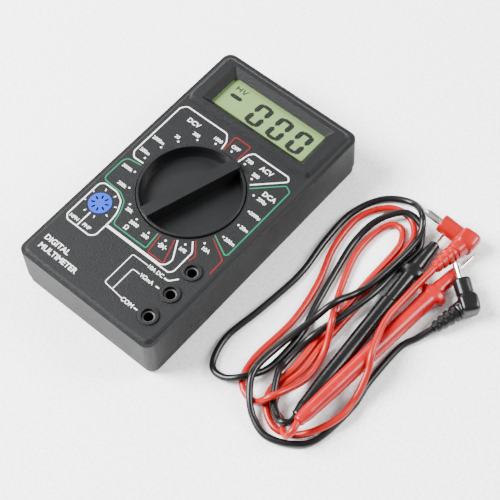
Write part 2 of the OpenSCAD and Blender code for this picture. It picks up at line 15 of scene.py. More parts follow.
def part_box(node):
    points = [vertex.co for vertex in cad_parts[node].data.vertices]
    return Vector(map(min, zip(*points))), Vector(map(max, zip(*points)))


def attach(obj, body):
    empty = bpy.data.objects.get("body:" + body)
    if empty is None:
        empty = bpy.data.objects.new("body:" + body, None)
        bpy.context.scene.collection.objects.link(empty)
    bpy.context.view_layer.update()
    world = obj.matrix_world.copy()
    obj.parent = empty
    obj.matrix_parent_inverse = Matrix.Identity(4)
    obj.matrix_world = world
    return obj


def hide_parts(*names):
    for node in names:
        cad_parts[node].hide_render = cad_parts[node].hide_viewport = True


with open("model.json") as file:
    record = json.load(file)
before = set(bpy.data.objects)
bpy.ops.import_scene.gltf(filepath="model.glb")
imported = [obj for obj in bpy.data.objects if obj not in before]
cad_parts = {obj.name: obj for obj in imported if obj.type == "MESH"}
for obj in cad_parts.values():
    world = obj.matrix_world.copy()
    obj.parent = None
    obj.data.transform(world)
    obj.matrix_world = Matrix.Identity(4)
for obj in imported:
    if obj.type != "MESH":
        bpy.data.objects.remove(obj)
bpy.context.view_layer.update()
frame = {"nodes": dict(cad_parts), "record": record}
NODES = frame["nodes"]

bl_info = {
    "name": "Digital multimeter",
    "version": (1, 0, 0),
    "blender": (4, 5, 0),
    "location": "View3D > Sidebar > Multimeter",
    "description": "Pocket multimeter with range dial, display and two test leads",
    "category": "Add Mesh",
}

MM = 0.001
INK_LIFT = 0.015
INK_THICK = 0.03
BEZEL_RISE = 1.6
FACE_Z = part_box("front_shell")[1].z / MM - BEZEL_RISE
SOCKET_X, SOCKET_Y = -24.0, -27.2

# Routes of the two cords in millimetres, from plug to probe, as in the part's source
BLACK_ROUTE = [
    (105.2, 21.5, 3), (102.6, 15, 1.6), (99.8, 7, 1.4), (100, -12, 1.4), (101.6, -24, 1.4),
    (99.8, -42.5, 1.4), (93.5, -50.2, 1.4), (84, -53.8, 1.4), (75.5, -51.2, 2.8),
    (69.3, -45.8, 5.4), (65, -38, 7.3), (64.4, -24, 4.4), (67.3, -6, 4.8), (70, 4, 7.8),
    (72.7, 14, 4.4), (75.3, 24, 4.4), (76.6, 47.5, 4.4), (72.6, 57.4, 7.2), (63.5, 62.8, 2.6),
    (53, 57.5, 1.4), (47, 44, 1.4), (47, 27, 1.4), (49.2, 8, 1.4), (47.4, -14, 1.4),
    (45.2, -32, 1.4), (49, -44.3, 1.4), (56, -46, 2.4), (62.3, -41.6, 4.3), (66.8, -31, 1.6),
    (66.8, -13, 1.4), (63.8, -1, 1.4), (59.6, 17, 1.4), (56.4, 34, 1.4), (58, 47, 3.2),
    (64.8, 56.2, 4.6), (73, 56, 3.8), (76.6, 52, 2.4), (78.9, 46, 1.4), (77.9, 35, 1.4),
    (78, 19, 3.8), (75.6, 5, 4.4), (72.4, -8, 4.5), (70.5, -15.5, 2.2), (70.3, -26, 2.2),
    (71.9, -32.2, 4.5), (77.2, -41, 4.4), (83, -46, 5.6), (86.8, -47.6, 7.6), (89.4, -45.6, 7.6),
    (89.2, -42, 6.6)]
RED_ROUTE = [
    (90.6, 41, 7.6), (90.7, 26, 9.8), (91, 11, 10.8), (94, 0, 12.5), (96.6, -6.5, 12.3),
    (99.2, -12, 9.2), (101, -21, 4.8), (101.4, -31, 4.5), (97.6, -41.2, 3.9), (91.2, -47.2, 1.4),
    (83.5, -49, 1.4), (75.3, -43.5, 1.4), (72.9, -35, 1.4), (74.1, -25, 1.4), (73.2, -10, 1.4),
    (72.8, 5, 1.4), (72.1, 22, 1.4), (72, 40, 1.4), (70.8, 46.4, 1.4), (67.4, 50.6, 1.4),
    (63, 49.8, 1.4), (60.6, 44, 1.4), (60, 35, 1.4), (61.5, 26, 1.4), (66.5, 12, 1.4),
    (70.6, 3.6, 3.8), (74.2, -2.4, 8.3), (79, -13, 2.8), (81, -26, 2.4), (77.6, -41.6, 7.9),
    (71.5, -46, 2), (63, -43, 1.4), (59.6, -32, 1.4), (60.6, -10, 1.4), (57.5, 9, 1.4),
    (51.6, 27, 1.4), (50.6, 44, 1.4), (57, 55.2, 1.4), (66, 57.3, 1.4), (73.2, 51.5, 1.4),
    (75, 41, 1.4), (75, 31, 1.4), (75.9, 14, 1.4), (76.2, -10, 1.4), (77.4, -24, 1.4),
    (75.8, -35, 1.4), (79, -42.8, 1.4), (85.6, -45.6, 2.8), (88.6, -48.8, 4.7), (92, -51, 8),
    (93.1, -49, 10.6), (92.4, -44.8, 10.8)]

# Each lead's rigid pieces: elbow of the plug, way its pin points, lengths of the plug's barrel and
# neck, and the two ends of the probe handle
LEADS = {
    "black": {"route": BLACK_ROUTE, "elbow": (110, 37.8, 5.6), "pin": (-0.8, 0.6, 0.15),
              "barrel": 10.5, "neck": 5.5, "tail": (89.2, -42, 6.6), "nose": (83, 52.8, 3.4)},
    "red": {"route": RED_ROUTE, "elbow": (92.2, 60.5, 5.6), "pin": (-0.98, -0.06, 0.22),
            "barrel": 12.7, "neck": 8.0, "tail": (92.4, -44.8, 10.8), "nose": (97.2, 50, 2.8)}}


# ---------------------------------------------------------------- settings

def colour(name, description, value):
    """A colour setting."""
    return bpy.props.FloatVectorProperty(
        name=name, description=description, default=value, size=3, min=0, max=1,
        subtype="COLOR_GAMMA")


def length(name, description, value_mm):
    """A length setting whose first value is given in millimetres."""
    return bpy.props.FloatProperty(
        name=name, description=description, default=value_mm * MM, min=0,
        subtype="DISTANCE", unit="LENGTH")


class CaseSettings(bpy.types.PropertyGroup):
    """Case mouldings and the print on them"""
    plastic: colour("Plastic", "Colour of the case mouldings", (0.0050, 0.0052, 0.0057))
    white_ink: colour("White ink", "Colour of the lettering", (0.62, 0.63, 0.63))
    green_ink: colour("Green ink", "Colour of the resistance and current outlines",
                      (0.005, 0.12, 0.055))
    red_ink: colour("Red ink", "Colour of the red outlines", (0.11, 0.008, 0.007))
    edge_round: length("Edge rounding", "Radius on the edges of the mouldings", 0.25)
    line_width: length("Line width", "Width of the printed outlines", 0.55)


class DisplaySettings(bpy.types.PropertyGroup):
    """Display glass and its digits"""
    glass: colour("Glass", "Colour of the display where no segment is on", (0.125, 0.205, 0.062))
    segment: colour("Segment", "Colour of a segment that is on", (0.002, 0.003, 0.002))
    digit_height: length("Digit height", "Height of a digit", 12.0)
    stroke: length("Stroke", "Width of a segment", 2.3)


class DialSettings(bpy.types.PropertyGroup):
    """Range dial and transistor socket"""
    plastic: colour("Plastic", "Colour of the knob", (0.0045, 0.0047, 0.0052))
    socket: colour("Transistor socket", "Colour of the transistor socket", (0.006, 0.035, 0.33))


class LeadSettings(bpy.types.PropertyGroup):
    """Cords, plugs and probes"""
    cord_diameter: length("Cord diameter", "Outer diameter of the cord", 2.8)
    black: colour("Black", "Colour of the black cord and plug", (0.0022, 0.0022, 0.0024))
    red: colour("Red", "Colour of the red cord and plug", (0.29, 0.002, 0.0008))
    red_handle: colour("Red handle", "Colour of the red probe", (0.30, 0.002, 0.004))


class StageSettings(bpy.types.PropertyGroup):
    """Floor and lights"""
    floor: colour("Floor", "Colour of the floor", (0.95, 0.955, 0.955))
    key_power: bpy.props.FloatProperty(
        name="Key light", description="Power of the large light", default=95.0, min=0,
        unit="POWER")
    sky: bpy.props.FloatProperty(
        name="Sky", description="Strength of the even light", default=0.7, min=0)


# ---------------------------------------------------------------- surfaces

def linked(name, data):
    """A new object that holds the data, linked into the scene."""
    piece = bpy.data.objects.new(name, data)
    bpy.context.scene.collection.objects.link(piece)
    return piece


def put(name, points, faces, smooth=True, crease_deg=35):
    """A mesh object from points in millimetres and faces, its normals made consistent."""
    mesh = bpy.data.meshes.new(name)
    mesh.from_pydata((np.asarray(points, float) * MM).tolist(), [], faces)
    mesh.validate()
    work = bmesh.new()
    work.from_mesh(mesh)
    bmesh.ops.recalc_face_normals(work, faces=work.faces)
    work.to_mesh(mesh)
    work.free()
    if smooth:
        mesh.polygons.foreach_set("use_smooth", np.ones(len(mesh.polygons), bool))
        mesh.set_sharp_from_angle(angle=math.radians(crease_deg))
    return linked(name, mesh)


def grid_faces(rows, columns, first=0, capped=True):
    """Quads between rows of a grid whose columns close on themselves, with a cap at each end."""
    row, column = np.meshgrid(np.arange(rows - 1), np.arange(columns), indexing="ij")
    after = (column + 1) % columns
    quads = np.stack([row * columns + column, row * columns + after,
                      (row + 1) * columns + after, (row + 1) * columns + column], -1)
    faces = (quads.reshape(-1, 4) + first).tolist()
    if capped:
        faces.append((np.arange(columns)[::-1] + first).tolist())
        faces.append((np.arange(columns) + (rows - 1) * columns + first).tolist())
    return faces


def joined(sheets):
    """Points and faces of several grids of rings, one after another."""
    points, faces, count = [], [], 0
    for sheet in sheets:
        rows, columns = sheet.shape[:2]
        faces += grid_faces(rows, columns, count)
        points.append(sheet.reshape(-1, 3))
        count += rows * columns
    return np.vstack(points), faces


def unit(vector):
    """The vector, or each row of vectors, scaled to length 1."""
    vector = np.asarray(vector, float)
    return vector / np.linalg.norm(vector, axis=-1, keepdims=True)


def spline(route, steps):
    """Uniform Catmull-Rom curve through the route, its two end points reflected outwards."""
    p = np.asarray(route, float)
    p = np.vstack([2 * p[0] - p[1], p, 2 * p[-1] - p[-2]])
    t = (np.arange(steps) / steps)[None, :, None]
    a, b, c, d = (p[i:len(p) - 3 + i, None, :] for i in range(4))
    curve = 0.5 * (2 * b + (c - a) * t + (2 * a - 5 * b + 4 * c - d) * t ** 2
                   + (3 * b - a - 3 * c + d) * t ** 3)
    return np.vstack([curve.reshape(-1, 3), p[-2]])


def carried(path, half_width, half_height, sides, power=2.0):
    """A superellipse carried along a path: at each ring the section is
    half_width * cos^(2/power) across and half_height * sin^(2/power) up, square to the path."""
    path = np.asarray(path, float)
    along = unit(np.gradient(path, axis=0))
    across = unit(np.cross(along, (0, 0, 1)))
    up = np.cross(across, along)
    angle = 2 * np.pi * np.arange(sides) / sides
    exponent = 2 / np.broadcast_to(np.asarray(power, float), len(path))[:, None]
    cosine, sine = np.cos(angle)[None], np.sin(angle)[None]
    x = np.sign(cosine) * np.abs(cosine) ** exponent
    y = np.sign(sine) * np.abs(sine) ** exponent
    wide = np.broadcast_to(np.asarray(half_width, float), len(path))[:, None, None]
    high = np.broadcast_to(np.asarray(half_height, float), len(path))[:, None, None]
    return (path[:, None] + across[:, None] * x[..., None] * wide
            + up[:, None] * y[..., None] * high)


def straight(start, way, distances):
    """Points along a straight line from start, at the given distances."""
    return np.asarray(start, float) + unit(way) * np.asarray(distances, float)[:, None]


def blended(stations, values, samples):
    """Distances and values of a smooth profile through stations, as a monotone cubic
    (value between two stations follows 3t^2 - 2t^3)."""
    stations, values = np.asarray(stations, float), np.asarray(values, float)
    at = np.unique(np.concatenate([np.linspace(stations[0], stations[-1], samples), stations]))
    left = np.clip(np.searchsorted(stations, at, side="right") - 1, 0, len(stations) - 2)
    t = (at - stations[left]) / (stations[left + 1] - stations[left])
    ease = t * t * (3 - 2 * t)
    return at, values[left] + (values[left + 1] - values[left]) * ease


def add_ring_uv(piece, sides, path):
    """UV map of a carried surface: u is metres along the path, v goes once round."""
    run = np.concatenate([[0], np.cumsum(np.linalg.norm(np.diff(path, axis=0), axis=1))]) * MM
    mesh = piece.data
    layer = mesh.uv_layers.new(name="along")
    corner = np.empty(len(mesh.loops), int)
    mesh.loops.foreach_get("vertex_index", corner)
    u, v = run[corner // sides], (corner % sides) / sides
    layer.data.foreach_set("uv", np.stack([u, v], 1).astype(np.float32).ravel())


def own(piece, body, slot, material, *replaced):
    """Gives a new piece its material and its body, and hides the CAD nodes that it stands for. The
    slot argument is not used.
    """
    piece.data.materials.clear()
    piece.data.materials.append(material)
    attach(piece, body)
    if replaced:
        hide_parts(*replaced)
    return piece


def refinish(node, material):
    """Gives a kept CAD piece the material, and returns the piece."""
    piece = NODES[node]
    piece.data.materials.clear()
    piece.data.materials.append(material)
    return piece


# Distance within which points of a CAD mesh count as one, in metres
SAME_POINT = 2e-6


def softened(node, name, width_mm, segments=3, min_deg=28):
    """A copy of a CAD node with its loose triangles merged and its edges rounded by a Bevel
    modifier, whose shading is weighted towards the large faces."""
    mesh = NODES[node].data.copy()
    mesh.name = name
    work = bmesh.new()
    work.from_mesh(mesh)
    bmesh.ops.remove_doubles(work, verts=work.verts, dist=SAME_POINT)
    work.to_mesh(mesh)
    work.free()
    mesh.polygons.foreach_set("use_smooth", np.ones(len(mesh.polygons), bool))
    mesh.set_sharp_from_angle(angle=math.radians(min_deg))
    piece = linked(name, mesh)
    bevel = piece.modifiers.new("rounding", "BEVEL")
    bevel.width = width_mm * MM
    bevel.segments = segments
    bevel.limit_method = "ANGLE"
    bevel.angle_limit = math.radians(min_deg)
    shading = piece.modifiers.new("shading", "WEIGHTED_NORMAL")
    shading.mode = "FACE_AREA"
    shading.keep_sharp = True
    return piece


# ---------------------------------------------------------------- materials

def make_group(name, inputs, outputs):
    """A shader node group with named sockets, and its input and output nodes."""
    tree = bpy.data.node_groups.new(name, "ShaderNodeTree")
    for label, kind, value in inputs:
        socket = tree.interface.new_socket(name=label, in_out="INPUT", socket_type=kind)
        if value is not None:
            socket.default_value = value
    for label, kind in outputs:
        tree.interface.new_socket(name=label, in_out="OUTPUT", socket_type=kind)
    return tree, tree.nodes.new("NodeGroupInput"), tree.nodes.new("NodeGroupOutput")


def maths(tree, operation, first, second=None, third=None):
    """A Math node; each argument is a socket or a number."""
    node = tree.nodes.new("ShaderNodeMath")
    node.operation = operation
    for index, value in enumerate((first, second, third)):
        if value is None:
            continue
        if isinstance(value, (int, float)):
            node.inputs[index].default_value = value
        else:
            tree.links.new(value, node.inputs[index])
    return node.outputs[0]


def noise(tree, vector, scale, detail=2.0, roughness=0.5):
    """A Noise Texture node; its scale is a socket or a number."""
    node = tree.nodes.new("ShaderNodeTexNoise")
    tree.links.new(vector, node.inputs["Vector"])
    if isinstance(scale, (int, float)):
        node.inputs["Scale"].default_value = scale
    else:
        tree.links.new(scale, node.inputs["Scale"])
    node.inputs["Detail"].default_value = detail
    node.inputs["Roughness"].default_value = roughness
    return node.outputs[0]


def spread(tree, value, low, high, to_low, to_high):
    """A Map Range node, clamped."""
    node = tree.nodes.new("ShaderNodeMapRange")
    tree.links.new(value, node.inputs["Value"])
    for label, number in (("From Min", low), ("From Max", high), ("To Min", to_low),
                          ("To Max", to_high)):
        if isinstance(number, (int, float)):
            node.inputs[label].default_value = number
        else:
            tree.links.new(number, node.inputs[label])
    return node.outputs[0]


def scaled_colour(tree, colour_socket, factor):
    """The colour times a factor."""
    node = tree.nodes.new("ShaderNodeVectorMath")
    node.operation = "SCALE"
    tree.links.new(colour_socket, node.inputs[0])
    tree.links.new(factor, node.inputs["Scale"])
    return node.outputs[0]


def moulded_group():
    """Moulded plastic: a fine spark-eroded grain, cloudy handling marks and stray dust specks."""
    tree, source, sink = make_group(
        "Moulded grain",
        [("Vector", "NodeSocketVector", None), ("Color", "NodeSocketColor", (0.5, 0.5, 0.5, 1)),
         ("Grain Scale", "NodeSocketFloat", 2600.0), ("Tone Spread", "NodeSocketFloat", 0.2),
         ("Roughness", "NodeSocketFloat", 0.5), ("Roughness Spread", "NodeSocketFloat", 0.1),
         ("Dust", "NodeSocketFloat", 0.3)],
        [("Color", "NodeSocketColor"), ("Roughness", "NodeSocketFloat"),
         ("Height", "NodeSocketFloat")])
    vector = source.outputs["Vector"]
    grain = noise(tree, vector, source.outputs["Grain Scale"], 3.0, 0.6)
    cloud = noise(tree, vector, 55.0, 4.0, 0.6)
    specks = noise(tree, vector, 1500.0, 1.0, 0.5)
    dust = maths(tree, "MULTIPLY", spread(tree, specks, 0.70, 0.76, 0.0, 1.0),
                 source.outputs["Dust"])
    tone = maths(tree, "MULTIPLY_ADD", maths(tree, "SUBTRACT", cloud, 0.5),
                 source.outputs["Tone Spread"], 1.0)
    tone = maths(tree, "MULTIPLY", tone, spread(tree, grain, 0.3, 0.7, 0.86, 1.14))
    tone = maths(tree, "MULTIPLY_ADD", dust, 3.0, tone)
    tree.links.new(scaled_colour(tree, source.outputs["Color"], tone), sink.inputs["Color"])
    rough = maths(tree, "MULTIPLY_ADD", maths(tree, "SUBTRACT", cloud, 0.5),
                  source.outputs["Roughness Spread"], source.outputs["Roughness"])
    tree.links.new(maths(tree, "MULTIPLY_ADD", dust, 0.3, rough), sink.inputs["Roughness"])
    tree.links.new(grain, sink.inputs["Height"])
    return tree


def vinyl_group():
    """Soft vinyl: a slow change of tone, a fine unevenness and smudges."""
    tree, source, sink = make_group(
        "Soft vinyl",
        [("Vector", "NodeSocketVector", None), ("Color", "NodeSocketColor", (0.5, 0.5, 0.5, 1)),
         ("Roughness", "NodeSocketFloat", 0.4), ("Marks", "NodeSocketFloat", 0.5)],
        [("Color", "NodeSocketColor"), ("Roughness", "NodeSocketFloat"),
         ("Height", "NodeSocketFloat")])
    vector = source.outputs["Vector"]
    slow = noise(tree, vector, 90.0, 3.0, 0.55)
    fine = noise(tree, vector, 1900.0, 2.0, 0.5)
    marks = maths(tree, "MULTIPLY", spread(tree, noise(tree, vector, 420.0, 5.0, 0.7),
                                           0.56, 0.72, 0.0, 1.0), source.outputs["Marks"])
    tone = spread(tree, slow, 0.3, 0.7, 0.88, 1.12)
    tone = maths(tree, "MULTIPLY_ADD", marks, 0.35, tone)
    tree.links.new(scaled_colour(tree, source.outputs["Color"], tone), sink.inputs["Color"])
    rough = maths(tree, "MULTIPLY_ADD", maths(tree, "SUBTRACT", slow, 0.5), 0.22,
                  source.outputs["Roughness"])
    tree.links.new(maths(tree, "MULTIPLY_ADD", marks, 0.18, rough), sink.inputs["Roughness"])
    tree.links.new(maths(tree, "MULTIPLY_ADD", marks, 0.5, fine), sink.inputs["Height"])
    return tree


def metal_group():
    """Plated metal: a fine mottle and clouds of tarnish."""
    tree, source, sink = make_group(
        "Plated metal",
        [("Vector", "NodeSocketVector", None), ("Color", "NodeSocketColor", (0.5, 0.5, 0.5, 1)),
         ("Roughness", "NodeSocketFloat", 0.25), ("Tarnish", "NodeSocketFloat", 0.3)],
        [("Color", "NodeSocketColor"), ("Roughness", "NodeSocketFloat"),
         ("Height", "NodeSocketFloat")])
    vector = source.outputs["Vector"]
    mottle = noise(tree, vector, 3500.0, 1.0, 0.5)
    cloud = maths(tree, "MULTIPLY", spread(tree, noise(tree, vector, 260.0, 5.0, 0.65),
                                           0.45, 0.7, 0.0, 1.0), source.outputs["Tarnish"])
    tone = maths(tree, "SUBTRACT", spread(tree, mottle, 0.3, 0.7, 0.93, 1.05), cloud)
    tree.links.new(scaled_colour(tree, source.outputs["Color"], tone), sink.inputs["Color"])
    tree.links.new(maths(tree, "MULTIPLY_ADD", cloud, 0.5, source.outputs["Roughness"]),
                   sink.inputs["Roughness"])
    tree.links.new(mottle, sink.inputs["Height"])
    return tree


GROUP_MAKERS = {"moulded": moulded_group, "vinyl": vinyl_group, "metal": metal_group}
_groups = {}
_materials = {}


def finish_material(name, kind, base, settings=None, shader=None, bump=(0.25, 0.03)):
    """A Principled material whose colour, roughness and bump come from one of the groups.
    bump is its strength and its distance in millimetres."""
    if name in _materials:
        return _materials[name]
    if kind not in _groups:
        _groups[kind] = GROUP_MAKERS[kind]()
    material = bpy.data.materials.new(name)
    material.use_nodes = True
    tree = material.node_tree
    principled = tree.nodes["Principled BSDF"]
    effect = tree.nodes.new("ShaderNodeGroup")
    effect.node_tree = _groups[kind]
    place = tree.nodes.new("ShaderNodeTexCoord")
    tree.links.new(place.outputs["Object"], effect.inputs["Vector"])
    effect.inputs["Color"].default_value = (*base, 1)
    for label, value in (settings or {}).items():
        effect.inputs[label].default_value = value
    for label, value in (shader or {}).items():
        principled.inputs[label].default_value = value
    relief = tree.nodes.new("ShaderNodeBump")
    relief.inputs["Strength"].default_value = bump[0]
    relief.inputs["Distance"].default_value = bump[1] * MM
    tree.links.new(effect.outputs["Color"], principled.inputs["Base Color"])
    tree.links.new(effect.outputs["Roughness"], principled.inputs["Roughness"])
    tree.links.new(effect.outputs["Height"], relief.inputs["Height"])
    tree.links.new(relief.outputs["Normal"], principled.inputs["Normal"])
    _materials[name] = material
    return material


def case_plastic(case):
    """Coarse-grained black plastic of the two case mouldings."""
    return finish_material(
        "case_plastic", "moulded", case.plastic,
        {"Grain Scale": 1500.0, "Tone Spread": 0.35, "Roughness": 0.50, "Roughness Spread": 0.16,
         "Dust": 0.25}, {"Specular IOR Level": 0.19}, (1.0, 0.2))


def dial_plastic(dial):
    """Smoother, glossier black plastic of the range dial."""
    return finish_material(
        "dial_plastic", "moulded", dial.plastic,
        {"Grain Scale": 3200.0, "Tone Spread": 0.3, "Roughness": 0.34, "Roughness Spread": 0.14,
         "Dust": 0.3}, {"Specular IOR Level": 0.35}, (0.25, 0.03))


def ink(name, base):
    """Printed ink, a little uneven in tone."""
    return finish_material(
        name, "moulded", base,
        {"Grain Scale": 4200.0, "Tone Spread": 0.5, "Roughness": 0.45, "Roughness Spread": 0.1,
         "Dust": 0.0}, {"Specular IOR Level": 0.15}, (0.2, 0.01))


def vinyl(name, base, roughness=0.3):
    """Soft vinyl of the cords, plugs and probe handles."""
    return finish_material(name, "vinyl", base, {"Roughness": roughness, "Marks": 0.35},
                           {"Specular IOR Level": 0.32}, (0.2, 0.02))


def metal(name, base, roughness=0.22, tarnish=0.25):
    """Plated metal."""
    return finish_material(name, "metal", base, {"Roughness": roughness, "Tarnish": tarnish},
                           {"Metallic": 1.0}, (0.15, 0.01))


def nickel_plate():
    """Bright nickel of the plug pins and the probe needles."""
    return metal("nickel_plate", (0.72, 0.71, 0.68))


def clear_window():
    """Clear moulded window: a thin see-through sheet whose gloss is smudged."""
    return finish_material(
        "clear_window", "moulded", (0.1, 0.11, 0.1),
        {"Grain Scale": 900.0, "Tone Spread": 0.2, "Roughness": 0.08, "Roughness Spread": 0.12,
         "Dust": 0.1}, {"Alpha": 0.04, "Specular IOR Level": 0.25, "IOR": 1.49}, (0.05, 0.01))


# ---------------------------------------------------------------- stage

CAMERA_PLACE = Vector((237.87, -212.54, 505.98)) * MM
CAMERA_AHEAD = Vector((-0.35941, 0.36801, -0.85755)).normalized()
CAMERA_RIGHT = Vector((0.75638, 0.65311, -0.03673)).normalized()
CAMERA_LENS = 104.784
CAMERA_SENSOR = 36
CAMERA_NEAR = 0.01
FLOOR_HALF = 3000
LIGHTS_AIM = Vector((0.03, 0, 0))
# Soft round lights: name, place and size in metres, share of the key light's power
LIGHTS = (("key_light", (-0.75, -0.55, 0.95), 0.8, 1),
          ("back_light", (0.75, 0.75, 0.8), 0.6, 0.28),
          ("side_light", (-0.85, 0.5, 0.62), 0.35, 0.05))


class MULTIMETER_OT_stage(bpy.types.Operator):
    """Adds the pale floor, the soft lights and the camera"""
    bl_idname = "multimeter.stage"
    bl_label = "Stage"

    def execute(self, context):
        stage = context.scene.meter_stage
        camera = linked("camera", bpy.data.cameras.new("camera"))
        camera.data.lens = CAMERA_LENS
        camera.data.sensor_width = CAMERA_SENSOR
        camera.data.clip_start = CAMERA_NEAR
        up = CAMERA_RIGHT.cross(CAMERA_AHEAD)
        turn = Matrix((CAMERA_RIGHT, up, -CAMERA_AHEAD)).transposed()
        camera.matrix_world = Matrix.Translation(CAMERA_PLACE) @ turn.to_4x4()
        context.scene.camera = camera

        corners = [(x * FLOOR_HALF, y * FLOOR_HALF, 0)
                   for x, y in ((-1, -1), (1, -1), (1, 1), (-1, 1))]
        floor = put("floor", corners, [(0, 1, 2, 3)], smooth=False)
        floor.data.materials.append(finish_material(
            "floor_paper", "moulded", stage.floor,
            {"Grain Scale": 700.0, "Tone Spread": 0.02, "Roughness": 0.8, "Dust": 0.0},
            {"Specular IOR Level": 0.1}, (0.03, 0.05)))

        world = bpy.data.worlds.new("even_light")
        world.use_nodes = True
        background = world.node_tree.nodes["Background"]
        background.inputs["Color"].default_value = (1.0, 1.0, 1.0, 1)
        background.inputs["Strength"].default_value = stage.sky
        context.scene.world = world
        for name, place, size, share in LIGHTS:
            lamp = linked(name, bpy.data.lights.new(name, "AREA"))
            lamp.data.shape = "DISK"
            lamp.data.size = size
            lamp.data.energy = stage.key_power * share
            lamp.location = place
            aim = LIGHTS_AIM - Vector(place)
            lamp.rotation_euler = aim.to_track_quat("-Z", "Y").to_euler()
        return {"FINISHED"}


# ---------------------------------------------------------------- leads

CORD_SIDES = 20
CORD_STEPS = 8


def lead_material(leads, tint):
    """Vinyl of the black or the red lead."""
    return vinyl(f"{tint}_vinyl", leads.black if tint == "black" else leads.red)


class MULTIMETER_OT_cords(bpy.types.Operator):
    """Adds the two cords: a circle carried along each route"""
    bl_idname = "multimeter.cords"
    bl_label = "Cords"

    def execute(self, context):
        leads = context.scene.meter_leads
        radius = leads.cord_diameter / MM / 2
        for tint, lead in LEADS.items():
            path = spline(lead["route"], CORD_STEPS)
            path[:, 2] = np.maximum(path[:, 2], radius)
            rings = carried(path, radius, radius, CORD_SIDES)
            cord = put(f"{tint}_cord_jacket", *joined([rings]))
            add_ring_uv(cord, CORD_SIDES, path)
            own(cord, "test_leads", f"{tint}_cord_jacket", lead_material(leads, tint),
                f"{tint}_cord")
            lead["path"] = path * MM
            lead["cord"] = cord
        return {"FINISHED"}


def superball(centre, ahead, half, power, rows=40, columns=64):
    """A superellipsoid: x, y, z are half * |cos or sin|^(2/power) of latitude and longitude, its
    first axis along ahead."""
    latitude = np.linspace(-np.pi / 2, np.pi / 2, rows)[:, None]
    longitude = (2 * np.pi * np.arange(columns) / columns)[None]

    def shaped(wave):
        return np.sign(wave) * np.abs(wave) ** (2 / power)
    x = half[0] * shaped(np.cos(latitude)) * shaped(np.cos(longitude))
    y = half[1] * shaped(np.cos(latitude)) * shaped(np.sin(longitude))
    z = half[2] * shaped(np.sin(latitude)) * np.ones_like(longitude)
    ahead = unit(ahead)
    side = unit(np.cross((0, 0, 1), ahead))
    up = np.cross(ahead, side)
    return (np.asarray(centre, float) + x[..., None] * ahead + y[..., None] * side
            + z[..., None] * up)


def fused(name, sheets, voxel_mm, smoothing):
    """One skin over several closed surfaces: a voxel remesh of all of them, then smoothing that
    leaves a small fillet where they meet."""
    piece = put(name, *joined(sheets))
    remesh = piece.modifiers.new("skin", "REMESH")
    remesh.mode = "VOXEL"
    remesh.voxel_size = voxel_mm * MM
    remesh.use_smooth_shade = True
    fillet = piece.modifiers.new("fillet", "SMOOTH")
    fillet.factor = 0.5
    fillet.iterations = smoothing
    return applied(piece)


def applied(piece):
    """The piece with its modifiers made part of its mesh."""
    ready = bpy.data.meshes.new_from_object(
        piece.evaluated_get(bpy.context.evaluated_depsgraph_get()))
    piece.modifiers.clear()
    piece.data = ready
    piece.data.name = piece.name
    ready.polygons.foreach_set("use_smooth", np.ones(len(ready.polygons), bool))
    return piece


# Half sizes of the plug's body and of the lobe behind its elbow: along the pin, across, up
PLUG_BODY_HALF = (4.2, 3.95, 4.6)
PLUG_LOBE_HALF = (3.6, 2.1, 4.4)
PLUG_SIDES = 48
PLUG_VOXEL = 0.22
PLUG_SMOOTHING = 8
# Outer radius of each rib of the strain relief, depth of its grooves, and the least radius left
RIB_RADII = (3.5, 3.3, 2.9, 2.5)
RIB_STEP = 0.8
RELIEF_START = 2.4
RELIEF_LEAST = 1.45
RELIEF_SIDES = 40
RELIEF_RINGS = 90


class MULTIMETER_OT_plugs(bpy.types.Operator):
    """Adds the two moulded right-angle plugs with their ribbed strain reliefs"""
    bl_idname = "multimeter.plugs"
    bl_label = "Plugs"

    def execute(self, context):
        leads = context.scene.meter_leads
        for tint, lead in LEADS.items():
            elbow, pin = np.array(lead["elbow"], float), np.array(lead["pin"], float)
            back = np.array(lead["route"][0], float) - elbow
            reach = float(np.linalg.norm(back))
            at, wide = blended((0, 3, 4.6, lead["barrel"] - 0.6, lead["barrel"]),
                               (3.4, 3.4, 3.5, 3.6, 3.3), 24)
            barrel = carried(straight(elbow, pin, at), wide, wide, PLUG_SIDES, 2.6)
            at, wide = blended((0, lead["neck"] - 1, lead["neck"]), (3.9, 3.5, 3.3), 16)
            neck = carried(straight(elbow, back, at), wide, wide, PLUG_SIDES, 2.4)
            body = superball(elbow - 0.2 * unit(pin), pin, PLUG_BODY_HALF, 4.5)
            behind = elbow - 0.6 * unit(pin) - 2.2 * unit(back)
            lobe = superball(behind, pin, PLUG_LOBE_HALF, 3.2)
            plug = fused(f"{tint}_plug_moulding", [barrel, neck, body, lobe], PLUG_VOXEL,
                         PLUG_SMOOTHING)
            own(plug, "test_leads", f"{tint}_cord_jacket", lead_material(leads, tint),
                f"{tint}_plug")

            pitch = (reach - lead["neck"]) / len(RIB_RADII)
            stations, radii = [0.0], [RELIEF_START]
            for rib, outer in enumerate(RIB_RADII):
                for share, radius in ((0.16, outer), (0.62, outer - 0.1),
                                      (0.80, outer - RIB_STEP), (0.96, outer - RIB_STEP)):
                    stations.append((rib + share) * pitch)
                    radii.append(max(radius, RELIEF_LEAST))
            at, radius = blended(stations, radii, RELIEF_RINGS)
            relief = carried(straight(elbow + unit(back) * lead["neck"], back, at),
                             radius, radius, RELIEF_SIDES)
            sleeve = put(f"{tint}_ribbed_relief", *joined([relief]), crease_deg=60)
            own(sleeve, "test_leads", f"{tint}_cord_jacket", lead_material(leads, tint),
                f"{tint}_strain_relief")
            lead["plug_pieces"] = [plug, sleeve, refinish(f"{tint}_plug_pin", nickel_plate())]
        return {"FINISHED"}


HANDLE_RINGS = 150
HANDLE_SIDES = 64
